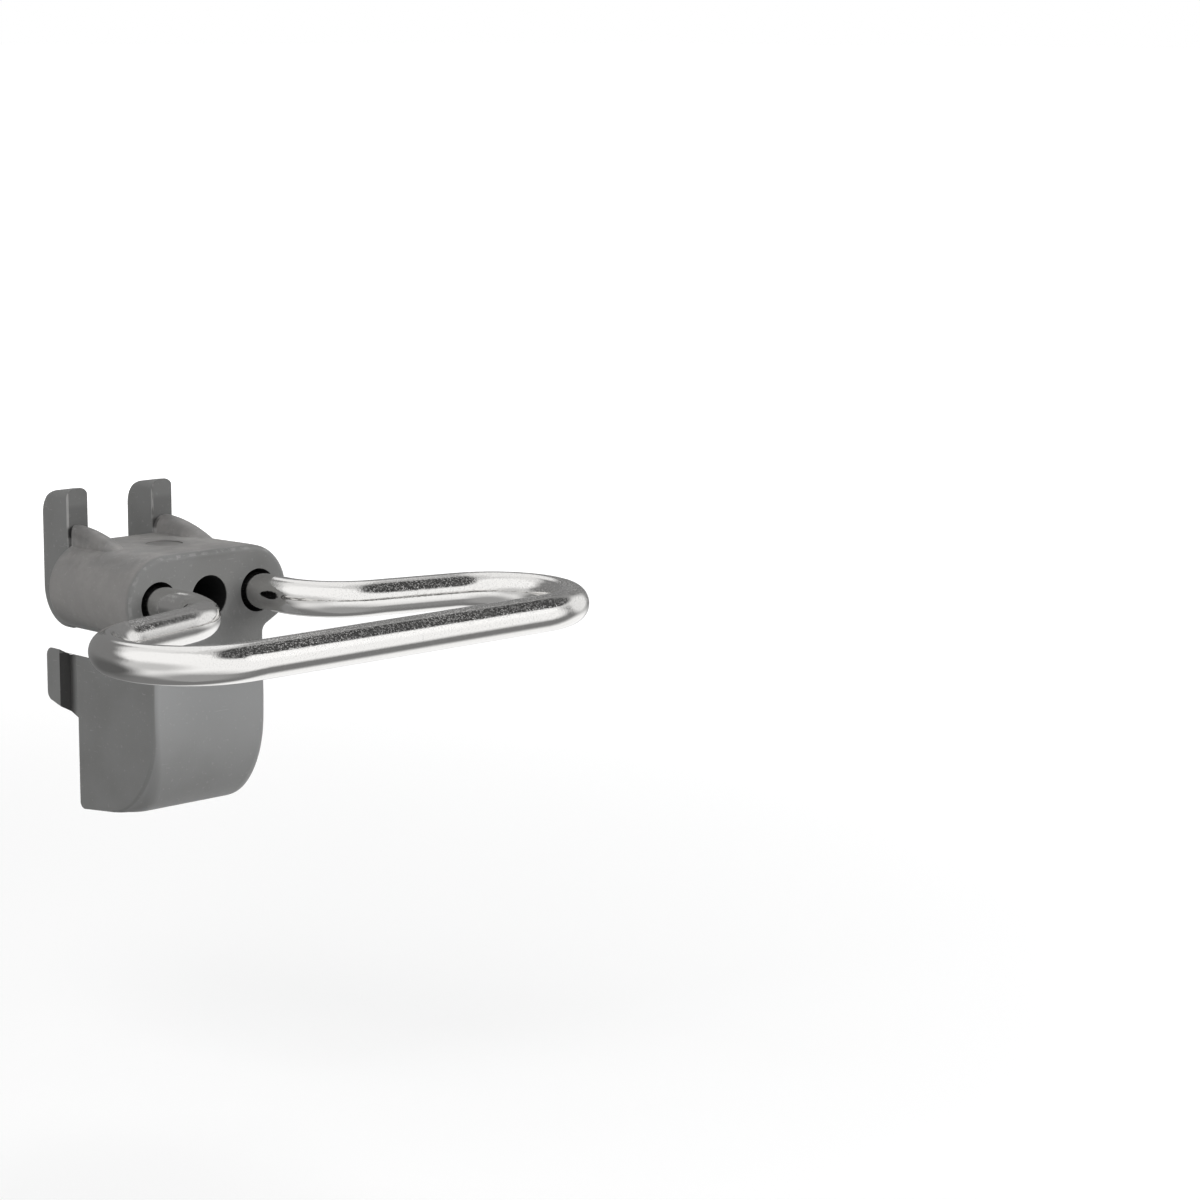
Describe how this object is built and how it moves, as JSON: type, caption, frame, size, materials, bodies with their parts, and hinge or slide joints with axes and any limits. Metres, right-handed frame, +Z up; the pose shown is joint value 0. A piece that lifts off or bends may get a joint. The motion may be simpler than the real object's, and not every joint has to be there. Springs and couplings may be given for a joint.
{
  "type": "garage utility hook",
  "caption": "Rail-clip utility hook: a moulded plastic holder with upright prongs and a sprung tongue carries a bent chromed wire loop that stands straight out to hang tools on.",
  "frame": {"origin": "on the rear plane of the two upright plates, midway between them, level with the axes of the three bores", "axes": "+X across the hook, +Y towards the wall it clips to, +Z up; the loop stands out along -Y"},
  "size_m": [0.0922, 0.083, 0.0538],
  "materials": {
    "holder": "fine matte grey moulding",
    "wire_loop": "bright nickel-chrome plating"
  },
  "bodies": {
    "root": {"holder": "holder", "wire_loop": "wire_loop"}
  },
  "joints": []
}
